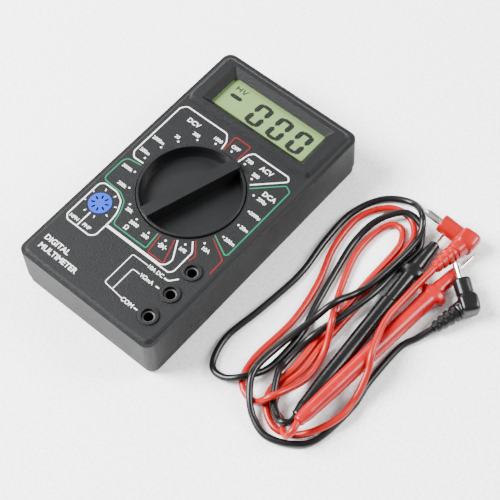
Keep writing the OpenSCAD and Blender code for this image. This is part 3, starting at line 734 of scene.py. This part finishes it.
# Each handle: distances from its tail, then its half width and its half thickness there
HANDLE_SHAPES = {
    "red": ((0, 0.6, 6, 22, 48, 66, 75.5, 76.6, 77.2, 79.0, 79.6, 81, 88, 94.3, 95),
            (1.9, 2.3, 2.9, 3.25, 3.45, 3.5, 3.9, 4.6, 5.8, 5.8, 4.2, 3.3, 2.9, 2.4, 1.7),
            (1.9, 2.3, 2.9, 3.25, 3.45, 3.5, 3.6, 3.7, 3.8, 3.8, 3.5, 3.0, 2.7, 2.3, 1.7)),
    "black": ((0, 0.6, 6, 22, 48, 61.5, 62.2, 75.5, 76.6, 77.2, 79.0, 79.6, 81, 88, 94.3, 95),
              (1.8, 2.2, 2.8, 3.3, 3.5, 3.6, 3.15, 3.3, 4.2, 5.5, 5.5, 4.1, 3.2, 2.8, 2.3, 1.6),
              (1.8, 2.2, 2.8, 3.1, 3.3, 3.4, 3.0, 3.3, 3.5, 3.6, 3.6, 3.4, 3.0, 2.7, 2.2, 1.6))}


class MULTIMETER_OT_probes(bpy.types.Operator):
    """Adds the two probe handles: an oval section carried from tail to nose, wide at the guard"""
    bl_idname = "multimeter.probes"
    bl_label = "Probes"

    def execute(self, context):
        leads = context.scene.meter_leads
        handles = {"black": vinyl("black_handle", leads.black, 0.28),
                   "red": vinyl("red_handle", leads.red_handle, 0.26)}
        for tint, lead in LEADS.items():
            stations, wide, high = HANDLE_SHAPES[tint]
            at, half_width = blended(stations, wide, HANDLE_RINGS)
            half_height = blended(stations, high, HANDLE_RINGS)[1]
            tail, nose = np.array(lead["tail"], float), np.array(lead["nose"], float)
            oval = carried(straight(tail, nose - tail, at), half_width, half_height,
                           HANDLE_SIDES, 2.1)
            handle = put(f"{tint}_probe_handle", *joined([oval]), crease_deg=50)
            own(handle, "test_leads", f"{tint}_handle", handles[tint], f"{tint}_probe")
            needle = refinish(f"{tint}_probe_needle", nickel_plate())
        return {"FINISHED"}


# ---------------------------------------------------------------- case

class MULTIMETER_OT_case(bpy.types.Operator):
    """Adds the front shell and the rear cover with softened edges"""
    bl_idname = "multimeter.case"
    bl_label = "Case"

    def execute(self, context):
        case = context.scene.meter_case
        width = case.edge_round / MM
        for node, name in (("front_shell", "front_moulding"), ("rear_cover", "rear_moulding")):
            own(softened(node, name, width), "meter", "case_plastic", case_plastic(case), node)
        return {"FINISHED"}


def ribbon(points, width, corner=0.9):
    """A flat printed line: a rectangle carried along a path whose corners are rounded, by cutting
    each back by up to the corner's length and curving from cut to cut."""
    points = np.asarray(points, float)
    bends = [points[0]]
    last = len(points) - 1
    for i in range(1, last):
        back, ahead = points[i - 1] - points[i], points[i + 1] - points[i]
        cut = min(corner, 0.45 * np.linalg.norm(back), 0.45 * np.linalg.norm(ahead))
        first, second = points[i] + unit(back) * cut, points[i] + unit(ahead) * cut
        t = np.linspace(0, 1, 6)[:, None]
        bends.extend((1 - t) ** 2 * first + 2 * t * (1 - t) * points[i] + t ** 2 * second)
    bends.append(points[last])
    path = np.array(bends)
    way = unit(np.gradient(path, axis=0))
    side = np.stack([way[:, 1], -way[:, 0]], 1) * width / 2
    low, high = FACE_Z + INK_LIFT, FACE_Z + INK_LIFT + INK_THICK

    def at(offset, height):
        return np.column_stack([path + offset, np.full(len(path), height)])
    return np.stack([at(side, low), at(side, high), at(-side, high), at(-side, low)], 1)


def dot(x, y, radius, sides=18):
    """A flat printed dot: a circle carried straight up through the ink's thickness."""
    angle = 2 * np.pi * np.arange(sides) / sides
    rows = []
    for height in (FACE_Z + INK_LIFT, FACE_Z + INK_LIFT + INK_THICK):
        rows.append(np.column_stack([x + radius * np.cos(angle), y + radius * np.sin(angle),
                                     np.full(sides, height)]))
    return np.stack(rows)


# Height of a capital as a share of the text size, and how much the strokes are fattened
CAP_SHARE = 0.73
STROKE_GROWTH = 0.02


def lettering(text, x, y, cap):
    """Mesh of a short label of the given capital height, centred on x, y, in millimetres."""
    curve = bpy.data.curves.new("label", "FONT")
    curve.body = text
    curve.align_x = "CENTER"
    curve.align_y = "CENTER"
    curve.size = cap / CAP_SHARE
    curve.offset = STROKE_GROWTH * curve.size
    curve.resolution_u = 3
    curve.extrude = INK_THICK / 2
    holder = linked("label", curve)
    mesh = bpy.data.meshes.new_from_object(
        holder.evaluated_get(bpy.context.evaluated_depsgraph_get()))
    bpy.data.objects.remove(holder)
    bpy.data.curves.remove(curve)
    mesh.transform(Matrix.Translation((x, y, FACE_Z + INK_LIFT + INK_THICK / 2)))
    return mesh


def printed(name, sheets, labels):
    """One mesh of printed lines, dots and letters."""
    piece = put(name, *joined(sheets), smooth=False)
    work = bmesh.new()
    work.from_mesh(piece.data)
    for mesh in labels:
        mesh.transform(Matrix.Scale(MM, 4))
        work.from_mesh(mesh)
        bpy.data.meshes.remove(mesh)
    bmesh.ops.remove_doubles(work, verts=work.verts, dist=1e-7)
    work.to_mesh(piece.data)
    work.free()
    return piece


# Outlines of the face print, by colour; thin lines and the diode sign are white too
WHITE_LINES = [
    [(-4, 22.9), (-4.7, 26.8), (-7.2, 30), (-28.8, 30), (-30.7, 27.7), (-30.7, -0.3),
     (-28.8, -2.5), (-23.8, -2.3)],
    [(5.3, 22.4), (6.2, 27.3), (7.8, 29.5), (25.8, 29.5), (27.2, 27.7), (16.2, 17)],
    [(11.3, -20.3), (15.8, -28.2), (15.3, -31.1), (13.4, -32.7), (-15.1, -32.7)],
    [(16.2, -16.9), (19.5, -21), (19.5, -31.5), (18.3, -33.3), (-15.1, -33.3), (-15.1, -38.8),
     (-17, -40.7), (-29, -40.7), (-30.7, -39), (-30.7, -20.6), (-29, -19), (-22.4, -19),
     (-18.2, -21.2), (-15.8, -25.8), (-15.1, -29.4), (-15.1, -33.3)],
    [(-24, -32.7), (-24, -40.7)],
    [(18.7, -36.1), (20.8, -36.1), (23.4, -32.9)],
    [(18.6, -40.8), (20.3, -40.8)], [(18.6, -53), (20.3, -53)]]
THIN_LINES = [
    [(10, -36), (2.2, -36), (2.2, -51.9), (12.2, -52.9)],
    [(10.2, -40.8), (6.6, -40.8), (6.6, -52.2)]]
DIODE_LINES = [
    [(6.4, -26.1), (10.6, -26.1)], [(7.4, -25), (7.4, -27.2), (9.4, -26.1), (7.4, -25)],
    [(9.6, -25), (9.6, -27.2)]]
GREEN_LINES = [
    [(17.2, 15.6), (27.8, 25.8), (30.8, 24.3), (30.8, -12.8), (29.9, -13.8), (21, -9.4)],
    [(-23.8, -3.5), (-30, -4.4), (-31.2, -6.5), (-31.2, -16.5), (-30, -17.8), (-21.3, -18.2),
     (-17.2, -20.4), (-15, -24.8), (-13.8, -29.4), (-13, -30.8), (4.1, -30.8), (3.3, -22.9)]]
RED_LINES = [
    [(-3, 22.9), (-3.4, 31), (4.6, 31), (4.4, 22.9)],
    [(21.3, -10.8), (30.8, -16), (31, -23.6)],
    [(17, -16), (20.3, -19.8), (21.6, -21.5), (20.8, -24.4)],
    [(4.5, -22.6), (5.8, -31.5), (14, -31.5), (10.3, -20.9)]]
# Labels: text, centre, height of a capital
LABELS = [
    ("DCV", -21.3, 25.4, 2.2), ("1000", -8, 25.3, 1.6), ("200", -16.5, 21.6, 1.6),
    ("20", -21.8, 16, 1.6), ("2000m", -26.6, 9.9, 1.6), ("200m", -27.2, 2.4, 1.6),
    ("OFF", 0.3, 26.7, 1.7), ("750", 8.9, 25.4, 1.6), ("200", 15.2, 21.7, 1.6),
    ("ACV", 17.2, 26, 2.2), ("DCA", 26, 17.3, 2.2), ("200µ", 24.9, 14.1, 1.6),
    ("2000µ", 27.3, 7.2, 1.5), ("20m", 28, -0.1, 1.6), ("200m", 27.5, -8.1, 1.6),
    ("10A", 22.6, -16.7, 1.7), ("hFE", 15.8, -22.4, 1.6), ("200", 0.2, -27.1, 1.6),
    ("2000", -7, -25.7, 1.6), ("Ω", -8.3, -28.8, 2.0), ("20k", -12.8, -22.2, 1.6),
    ("200k", -23.4, -15.2, 1.6), ("2000k", -27.3, -7.9, 1.5), ("NPN", -27.4, -38.4, 1.6),
    ("PNP", -20.6, -38.4, 1.6), ("10A DC", 14.1, -36, 1.7), ("VΩmA", 13.9, -40.8, 1.7),
    ("COM", 15, -53, 1.9), ("DIGITAL", -23.6, -51.7, 2.5), ("MULTIMETER", -19.3, -55.9, 2.5)]
DOTS = [(0, 24.5), (-7.5, 23.3), (-14.5, 20), (-20, 14.5), (-23.5, 8), (-25, 0), (-23.5, -7.5),
        (-20, -14.5), (-14.5, -20), (-7.6, -23.4), (0.3, -25), (7.8, -23.4), (14.9, -19.8),
        (20.3, -14.6), (24.1, -7.8), (25, 0), (24.1, 7.3), (20.6, 14.2), (14.9, 19.6),
        (8.1, 23.3)]
THIN_WIDTH = 0.35
DIODE_CORNER = 0.1
DOT_RADIUS = 0.45
# Ticks round the transistor socket: inner and outer radius, width, number
TICK_INNER, TICK_OUTER, TICK_WIDTH, TICKS = 6, 7.1, 0.45, 8


class MULTIMETER_OT_print(bpy.types.Operator):
    """Adds the range names, dots and coloured outlines as thin ink on the face"""
    bl_idname = "multimeter.face_print"
    bl_label = "Face print"

    def execute(self, context):
        case = context.scene.meter_case
        width = case.line_width / MM
        white = [ribbon(line, width) for line in WHITE_LINES]
        white += [ribbon(line, THIN_WIDTH) for line in THIN_LINES]
        white += [dot(x, y, DOT_RADIUS) for x, y in DOTS]
        for angle in np.radians(22.5 + 45 * np.arange(TICKS)):
            tick = [(SOCKET_X + radius * math.cos(angle), SOCKET_Y + radius * math.sin(angle))
                    for radius in (TICK_INNER, TICK_OUTER)]
            white.append(ribbon(tick, TICK_WIDTH))
        white += [ribbon(line, THIN_WIDTH, DIODE_CORNER) for line in DIODE_LINES]
        labels = [lettering(*label) for label in LABELS]
        own(printed("white_print", white, labels), "meter", "case_plastic",
            ink("white_ink", case.white_ink))
        for tint, lines, base in (("green", GREEN_LINES, case.green_ink),
                                  ("red", RED_LINES, case.red_ink)):
            own(printed(f"{tint}_print", [ribbon(line, width) for line in lines], []), "meter",
                "case_plastic", ink(f"{tint}_ink", base))
        return {"FINISHED"}


# ---------------------------------------------------------------- display

# Segments: their shear, height above the glass and thickness, and the gap between two of them
LEAN = 0.07
SEGMENT_LIFT = 0.01
SEGMENT_THICK = 0.03
SEGMENT_GAP = 0.22
# Foot line of the digits, and the left and right edge of each
DIGIT_FOOT = 40.6
DIGIT_EDGES = ((-8.7, -1.1), (2.4, 9.8), (12.9, 20.3))
MINUS_LINE = ((-21.6, 47.7), (-15.2, 47.7))
MINUS_STROKE = 1.9
VOLTS_SIGN = (((-21.4, 50.5), (-21.4, 53.1)), ((-19.3, 50.5), (-19.3, 53.1)),
              ((-21.4, 51.8), (-19.3, 51.8)), ((-18.4, 53.1), (-17.3, 50.5)),
              ((-16.2, 53.1), (-17.3, 50.5)))
VOLTS_STROKE = 0.5


def segment_bar(start, end, stroke, z):
    """A six-sided bar from start to end with pointed ends, leaning over, a thin slab high."""
    start, end = np.array(start, float), np.array(end, float)
    way = unit(end - start)
    side = np.array([-way[1], way[0]]) * stroke / 2
    cut = way * stroke / 2
    outline = np.array([start, start + cut + side, end - cut + side, end, end - cut - side,
                        start + cut - side])
    outline[:, 0] += (outline[:, 1] - DIGIT_FOOT) * LEAN
    return np.stack([np.column_stack([outline, np.full(len(outline), z + step)])
                     for step in (0, SEGMENT_THICK)])


def nought(left, right, stroke, high, z):
    """The six bars of a nought that stands on the foot line between two edges."""
    a, b = left + stroke / 2, right - stroke / 2
    low, mid, top = (DIGIT_FOOT + stroke / 2, DIGIT_FOOT + high / 2,
                     DIGIT_FOOT + high - stroke / 2)
    rim = 0.35 * stroke
    bars = [segment_bar((a + SEGMENT_GAP, y), (b - SEGMENT_GAP, y), 0.7 * stroke, z)
            for y in (top + 0.25, low - 0.25)]
    for x in (a, b):
        for start, end in ((mid + SEGMENT_GAP, top + rim), (low - rim, mid - SEGMENT_GAP)):
            bars.append(segment_bar((x, start), (x, end), stroke, z))
    return bars


class MULTIMETER_OT_display(bpy.types.Operator):
    """Adds the display's digits, and finishes its glass and its clear window"""
    bl_idname = "multimeter.display"
    bl_label = "Display"

    def execute(self, context):
        display = context.scene.meter_display
        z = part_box("display_glass")[1].z / MM + SEGMENT_LIFT
        stroke, high = display.stroke / MM, display.digit_height / MM
        bars = []
        for left, right in DIGIT_EDGES:
            bars += nought(left, right, stroke, high, z)
        bars.append(segment_bar(*MINUS_LINE, MINUS_STROKE, z))
        bars += [segment_bar(start, end, VOLTS_STROKE, z) for start, end in VOLTS_SIGN]
        digits = put("display_segments", *joined(bars), smooth=False)
        own(digits, "meter", "display_glass", ink("segment_black", display.segment))
        glass = finish_material(
            "display_green", "moulded", display.glass,
            {"Grain Scale": 5200.0, "Tone Spread": 0.12, "Roughness": 0.42,
             "Roughness Spread": 0.05, "Dust": 0.0}, {"Specular IOR Level": 0.5}, (0.05, 0.01))
        refinish("display_glass", glass)
        refinish("display_window", clear_window())
        return {"FINISHED"}


# ---------------------------------------------------------------- dial, sockets, screws

DIAL_ROUND = 0.3
SOCKET_ROUND = 0.12
METAL_ROUND = 0.1


class MULTIMETER_OT_dial(bpy.types.Operator):
    """Adds the range dial with its grip bar and finger wells, edges softened"""
    bl_idname = "multimeter.dial"
    bl_label = "Dial"

    def execute(self, context):
        knob = softened("range_dial", "range_knob", DIAL_ROUND, segments=4)
        own(knob, "dial", "dial_plastic", dial_plastic(context.scene.meter_dial), "range_dial")
        return {"FINISHED"}


class MULTIMETER_OT_sockets(bpy.types.Operator):
    """Adds the blue transistor socket, the lead sockets' metal and the case screws"""
    bl_idname = "multimeter.sockets"
    bl_label = "Sockets and screws"

    def execute(self, context):
        blue = finish_material(
            "socket_blue", "moulded", context.scene.meter_dial.socket,
            {"Grain Scale": 3000.0, "Tone Spread": 0.25, "Roughness": 0.35, "Dust": 0.1}, None,
            (0.2, 0.02))
        own(softened("transistor_socket", "transistor_test_socket", SOCKET_ROUND, 2), "meter",
            "blue_plastic", blue, "transistor_socket")
        dull = metal("dull_nickel", (0.12, 0.12, 0.12), 0.34, 0.4)
        for node in ("socket_10a", "socket_volt_ohm", "socket_common"):
            own(softened(node, f"{node}_sleeve", METAL_ROUND, 2), "meter", "socket_metal", dull,
                node)
        own(softened("case_screws", "rear_screws", METAL_ROUND, 2), "meter", "zinc_steel",
            metal("zinc_plate", (0.55, 0.55, 0.53), 0.35, 0.35), "case_screws")
        return {"FINISHED"}


# Finish of each material slot inside the case: group, colour, group settings, shader settings
INNER_FINISHES = {
    "light_plastic": ("moulded", (0.7, 0.7, 0.66), {"Roughness": 0.4}, None),
    "elastomer": ("vinyl", (0.5, 0.16, 0.2), {"Roughness": 0.6}, None),
    "board_laminate": ("moulded", (0.015, 0.14, 0.05), {"Roughness": 0.3, "Tone Spread": 0.5},
                       None),
    "gold_plate": ("metal", (0.86, 0.6, 0.24), {"Roughness": 0.25}, {"Metallic": 1.0}),
    "plated_steel": ("metal", (0.72, 0.71, 0.68), {"Roughness": 0.22}, {"Metallic": 1.0}),
    "zinc_steel": ("metal", (0.55, 0.55, 0.53), {"Roughness": 0.35}, {"Metallic": 1.0}),
    "resin_black": ("moulded", (0.012, 0.012, 0.013), {"Roughness": 0.25}, None),
    "film_green": ("moulded", (0.04, 0.2, 0.08), {"Roughness": 0.3}, None),
    "resistor_body": ("moulded", (0.16, 0.36, 0.5), {"Roughness": 0.35}, None),
    "battery_jacket": ("metal", (0.06, 0.06, 0.07), {"Roughness": 0.3}, None),
    "clear_window": ("moulded", (0.7, 0.74, 0.7), {"Roughness": 0.06}, {"Alpha": 0.3})}


class MULTIMETER_OT_inside(bpy.types.Operator):
    """Finishes the pieces inside the case: board, parts, battery and springs"""
    bl_idname = "multimeter.inside"
    bl_label = "Inner pieces"

    def execute(self, context):
        leads = context.scene.meter_leads
        done = {"display_glass", "display_window"}
        for row in frame["record"]["subparts"]:
            node, slot = row["node"], row["material_slot"]
            if node in done:
                continue
            if slot in INNER_FINISHES:
                kind, base, settings, shader = INNER_FINISHES[slot]
                material = finish_material(f"inner_{slot}", kind, base, settings, shader)
            elif slot in ("red_cord_jacket", "black_cord_jacket"):
                material = lead_material(leads, slot.split("_")[0])
            else:
                continue
            refinish(node, material)
        return {"FINISHED"}


class MULTIMETER_PT_panel(bpy.types.Panel):
    """Lists the multimeter's pieces and their settings"""
    bl_idname = "MULTIMETER_PT_panel"
    bl_label = "Multimeter"
    bl_space_type = "VIEW_3D"
    bl_region_type = "UI"
    bl_category = "Multimeter"

    def draw(self, context):
        layout = self.layout
        for operator in OPERATORS:
            layout.operator(operator.bl_idname)
        for holder in SETTINGS:
            group = getattr(context.scene, holder)
            box = layout.box()
            for name in group.__annotations__:
                box.prop(group, name)


SETTINGS = {"meter_case": CaseSettings, "meter_display": DisplaySettings,
            "meter_dial": DialSettings, "meter_leads": LeadSettings,
            "meter_stage": StageSettings}
OPERATORS = (MULTIMETER_OT_stage, MULTIMETER_OT_cords, MULTIMETER_OT_plugs,
             MULTIMETER_OT_probes, MULTIMETER_OT_inside, MULTIMETER_OT_case,
             MULTIMETER_OT_print, MULTIMETER_OT_display, MULTIMETER_OT_dial,
             MULTIMETER_OT_sockets)


def register():
    """Registers the settings, the operators and the panel."""
    for group in SETTINGS.values():
        bpy.utils.register_class(group)
    for holder, group in SETTINGS.items():
        setattr(bpy.types.Scene, holder, bpy.props.PointerProperty(type=group))
    for item in (*OPERATORS, MULTIMETER_PT_panel):
        bpy.utils.register_class(item)


def unregister():
    """Takes back what register added."""
    for item in (MULTIMETER_PT_panel, *reversed(OPERATORS)):
        bpy.utils.unregister_class(item)
    for holder in SETTINGS:
        delattr(bpy.types.Scene, holder)
    for group in reversed(SETTINGS.values()):
        bpy.utils.unregister_class(group)


def main():
    """Registers the add-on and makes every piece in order."""
    register()
    for operator in OPERATORS:
        family, name = operator.bl_idname.split(".")
        if getattr(getattr(bpy.ops, family), name)() != {"FINISHED"}:
            raise RuntimeError(f"{operator.bl_idname} did not finish")


if __name__ == "__main__":
    main()
